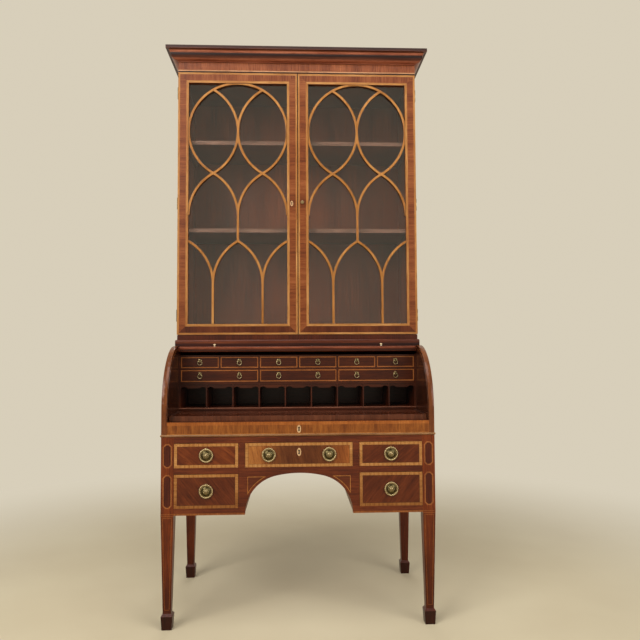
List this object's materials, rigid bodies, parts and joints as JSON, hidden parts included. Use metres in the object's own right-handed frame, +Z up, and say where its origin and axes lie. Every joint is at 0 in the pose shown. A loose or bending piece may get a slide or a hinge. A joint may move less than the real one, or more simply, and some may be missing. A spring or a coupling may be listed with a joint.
{
  "type": "bureau bookcase",
  "caption": "Cylinder bureau on tapered spade-foot legs with rolling fall, pull-out writing slide, fitted nest and arched kneehole, under a glazed bookcase with tracery doors.",
  "frame": {"origin": "on the floor, under the middle of the bounding box", "axes": "+Z up, the front faces -Y, +X to the right for someone facing the desk"},
  "size_m": [1.0154, 0.5498, 2.13],
  "materials": {
    "mahogany": "polished, banded and strung",
    "satinwood": "polished",
    "inner_wood": "plain",
    "brass": "aged",
    "bone": "turned bone",
    "glass": "clear"
  },
  "bodies": {
    "case": {"legs": "mahogany", "desk_panels": "mahogany", "desk_front_rails": "mahogany", "kneehole_arch": "mahogany", "dividers_runners_and_bed": "inner_wood", "waist_and_top_boards": "mahogany", "cylinder_sides": "mahogany", "fall_rail": "mahogany", "nest_case": "mahogany", "bookcase_carcase": "mahogany", "cornice": "mahogany", "case_brasswork": "brass"},
    "left_door": {"left_door_frame": "mahogany", "left_door_tracery": "satinwood", "left_door_glass": "glass", "left_door_brasswork": "brass"},
    "right_door": {"right_door_frame": "mahogany", "right_door_tracery": "satinwood", "right_door_glass": "glass", "right_door_brasswork": "brass"},
    "fall": {"fall_shell": "mahogany", "fall_knobs": "bone"},
    "writing_slide": {"writing_slide": "mahogany"},
    "upper_left_drawer": {"upper_left_drawer": "mahogany", "upper_left_handle_plate": "brass"},
    "upper_left_ring": {"upper_left_ring": "brass"},
    "upper_right_drawer": {"upper_right_drawer": "mahogany", "upper_right_handle_plate": "brass"},
    "upper_right_ring": {"upper_right_ring": "brass"},
    "lower_left_drawer": {"lower_left_drawer": "mahogany", "lower_left_handle_plate": "brass"},
    "lower_left_ring": {"lower_left_ring": "brass"},
    "lower_right_drawer": {"lower_right_drawer": "mahogany", "lower_right_handle_plate": "brass"},
    "lower_right_ring": {"lower_right_ring": "brass"},
    "middle_drawer": {"middle_drawer": "mahogany", "middle_handle_plates": "brass"},
    "middle_left_ring": {"middle_left_ring": "brass"},
    "middle_right_ring": {"middle_right_ring": "brass"},
    "small_drawer_1": {"small_drawer_1": "mahogany"},
    "small_drawer_1_ring": {"small_drawer_1_ring": "brass"},
    "small_drawer_2": {"small_drawer_2": "mahogany"},
    "small_drawer_2_ring": {"small_drawer_2_ring": "brass"},
    "small_drawer_3": {"small_drawer_3": "mahogany"},
    "small_drawer_3_ring": {"small_drawer_3_ring": "brass"},
    "small_drawer_4": {"small_drawer_4": "mahogany"},
    "small_drawer_4_ring": {"small_drawer_4_ring": "brass"},
    "small_drawer_5": {"small_drawer_5": "mahogany"},
    "small_drawer_5_ring": {"small_drawer_5_ring": "brass"},
    "small_drawer_6": {"small_drawer_6": "mahogany"},
    "small_drawer_6_ring": {"small_drawer_6_ring": "brass"},
    "wide_drawer_left": {"wide_drawer_left": "mahogany"},
    "wide_drawer_left_left_ring": {"wide_drawer_left_left_ring": "brass"},
    "wide_drawer_left_right_ring": {"wide_drawer_left_right_ring": "brass"},
    "wide_drawer_middle": {"wide_drawer_middle": "mahogany"},
    "wide_drawer_middle_left_ring": {"wide_drawer_middle_left_ring": "brass"},
    "wide_drawer_middle_right_ring": {"wide_drawer_middle_right_ring": "brass"},
    "wide_drawer_right": {"wide_drawer_right": "mahogany"},
    "wide_drawer_right_left_ring": {"wide_drawer_right_left_ring": "brass"},
    "wide_drawer_right_right_ring": {"wide_drawer_right_right_ring": "brass"}
  },
  "joints": [
    {"name": "left_door_hinge", "type": "hinge", "parent": "case", "child": "left_door", "pos_m": [-0.46915, -0.01385, 1.01], "axis": [0, 0, -1], "range_deg": [0, 170]},
    {"name": "right_door_hinge", "type": "hinge", "parent": "case", "child": "right_door", "pos_m": [0.46915, -0.01385, 1.01], "axis": [0, 0, 1], "range_deg": [0, 170]},
    {"name": "fall_roll", "type": "hinge", "parent": "case", "child": "fall", "pos_m": [0, -0.03905, 0.743], "axis": [-1, 0, 0], "range_deg": [-93.3, 0]},
    {"name": "writing_slide_pull", "type": "slide", "parent": "case", "child": "writing_slide", "axis": [0, -1, 0], "range_m": [0, 0.15]},
    {"name": "upper_left_drawer_pull", "type": "slide", "parent": "case", "child": "upper_left_drawer", "axis": [0, -1, 0], "range_m": [0, 0.3]},
    {"name": "upper_left_ring_swing", "type": "hinge", "parent": "upper_left_drawer", "child": "upper_left_ring", "pos_m": [-0.3204, -0.27005, 0.6114], "axis": [-1, 0, 0], "range_deg": [0, 100]},
    {"name": "upper_right_drawer_pull", "type": "slide", "parent": "case", "child": "upper_right_drawer", "axis": [0, -1, 0], "range_m": [0, 0.3]},
    {"name": "upper_right_ring_swing", "type": "hinge", "parent": "upper_right_drawer", "child": "upper_right_ring", "pos_m": [0.3204, -0.27005, 0.6114], "axis": [-1, 0, 0], "range_deg": [0, 100]},
    {"name": "lower_left_drawer_pull", "type": "slide", "parent": "case", "child": "lower_left_drawer", "axis": [0, -1, 0], "range_m": [0, 0.3]},
    {"name": "lower_left_ring_swing", "type": "hinge", "parent": "lower_left_drawer", "child": "lower_left_ring", "pos_m": [-0.3204, -0.27005, 0.48965], "axis": [-1, 0, 0], "range_deg": [0, 100]},
    {"name": "lower_right_drawer_pull", "type": "slide", "parent": "case", "child": "lower_right_drawer", "axis": [0, -1, 0], "range_m": [0, 0.3]},
    {"name": "lower_right_ring_swing", "type": "hinge", "parent": "lower_right_drawer", "child": "lower_right_ring", "pos_m": [0.3204, -0.27005, 0.48965], "axis": [-1, 0, 0], "range_deg": [0, 100]},
    {"name": "middle_drawer_pull", "type": "slide", "parent": "case", "child": "middle_drawer", "axis": [0, -1, 0], "range_m": [0, 0.3]},
    {"name": "middle_left_ring_swing", "type": "hinge", "parent": "middle_drawer", "child": "middle_left_ring", "pos_m": [-0.105, -0.27005, 0.6114], "axis": [-1, 0, 0], "range_deg": [0, 100]},
    {"name": "middle_right_ring_swing", "type": "hinge", "parent": "middle_drawer", "child": "middle_right_ring", "pos_m": [0.105, -0.27005, 0.6114], "axis": [-1, 0, 0], "range_deg": [0, 100]},
    {"name": "small_drawer_1_pull", "type": "slide", "parent": "case", "child": "small_drawer_1", "axis": [0, -1, 0], "range_m": [0, 0.042]},
    {"name": "small_drawer_1_ring_swing", "type": "hinge", "parent": "small_drawer_1", "child": "small_drawer_1_ring", "pos_m": [-0.3775, -0.03545, 0.91146], "axis": [-1, 0, 0], "range_deg": [0, 100]},
    {"name": "small_drawer_2_pull", "type": "slide", "parent": "case", "child": "small_drawer_2", "axis": [0, -1, 0], "range_m": [0, 0.042]},
    {"name": "small_drawer_2_ring_swing", "type": "hinge", "parent": "small_drawer_2", "child": "small_drawer_2_ring", "pos_m": [-0.2265, -0.03545, 0.91146], "axis": [-1, 0, 0], "range_deg": [0, 100]},
    {"name": "small_drawer_3_pull", "type": "slide", "parent": "case", "child": "small_drawer_3", "axis": [0, -1, 0], "range_m": [0, 0.042]},
    {"name": "small_drawer_3_ring_swing", "type": "hinge", "parent": "small_drawer_3", "child": "small_drawer_3_ring", "pos_m": [-0.0755, -0.03545, 0.91146], "axis": [-1, 0, 0], "range_deg": [0, 100]},
    {"name": "small_drawer_4_pull", "type": "slide", "parent": "case", "child": "small_drawer_4", "axis": [0, -1, 0], "range_m": [0, 0.042]},
    {"name": "small_drawer_4_ring_swing", "type": "hinge", "parent": "small_drawer_4", "child": "small_drawer_4_ring", "pos_m": [0.0755, -0.03545, 0.91146], "axis": [-1, 0, 0], "range_deg": [0, 100]},
    {"name": "small_drawer_5_pull", "type": "slide", "parent": "case", "child": "small_drawer_5", "axis": [0, -1, 0], "range_m": [0, 0.042]},
    {"name": "small_drawer_5_ring_swing", "type": "hinge", "parent": "small_drawer_5", "child": "small_drawer_5_ring", "pos_m": [0.2265, -0.03545, 0.91146], "axis": [-1, 0, 0], "range_deg": [0, 100]},
    {"name": "small_drawer_6_pull", "type": "slide", "parent": "case", "child": "small_drawer_6", "axis": [0, -1, 0], "range_m": [0, 0.042]},
    {"name": "small_drawer_6_ring_swing", "type": "hinge", "parent": "small_drawer_6", "child": "small_drawer_6_ring", "pos_m": [0.3775, -0.03545, 0.91146], "axis": [-1, 0, 0], "range_deg": [0, 100]},
    {"name": "wide_drawer_left_pull", "type": "slide", "parent": "case", "child": "wide_drawer_left", "axis": [0, -1, 0], "range_m": [0, 0.09]},
    {"name": "wide_drawer_left_left_ring_swing", "type": "hinge", "parent": "wide_drawer_left", "child": "wide_drawer_left_left_ring", "pos_m": [-0.3775, -0.03545, 0.85996], "axis": [-1, 0, 0], "range_deg": [0, 100]},
    {"name": "wide_drawer_left_right_ring_swing", "type": "hinge", "parent": "wide_drawer_left", "child": "wide_drawer_left_right_ring", "pos_m": [-0.2265, -0.03545, 0.85996], "axis": [-1, 0, 0], "range_deg": [0, 100]},
    {"name": "wide_drawer_middle_pull", "type": "slide", "parent": "case", "child": "wide_drawer_middle", "axis": [0, -1, 0], "range_m": [0, 0.09]},
    {"name": "wide_drawer_middle_left_ring_swing", "type": "hinge", "parent": "wide_drawer_middle", "child": "wide_drawer_middle_left_ring", "pos_m": [-0.0755, -0.03545, 0.85996], "axis": [-1, 0, 0], "range_deg": [0, 100]},
    {"name": "wide_drawer_middle_right_ring_swing", "type": "hinge", "parent": "wide_drawer_middle", "child": "wide_drawer_middle_right_ring", "pos_m": [0.0755, -0.03545, 0.85996], "axis": [-1, 0, 0], "range_deg": [0, 100]},
    {"name": "wide_drawer_right_pull", "type": "slide", "parent": "case", "child": "wide_drawer_right", "axis": [0, -1, 0], "range_m": [0, 0.09]},
    {"name": "wide_drawer_right_left_ring_swing", "type": "hinge", "parent": "wide_drawer_right", "child": "wide_drawer_right_left_ring", "pos_m": [0.2265, -0.03545, 0.85996], "axis": [-1, 0, 0], "range_deg": [0, 100]},
    {"name": "wide_drawer_right_right_ring_swing", "type": "hinge", "parent": "wide_drawer_right", "child": "wide_drawer_right_right_ring", "pos_m": [0.3775, -0.03545, 0.85996], "axis": [-1, 0, 0], "range_deg": [0, 100]}
  ]
}
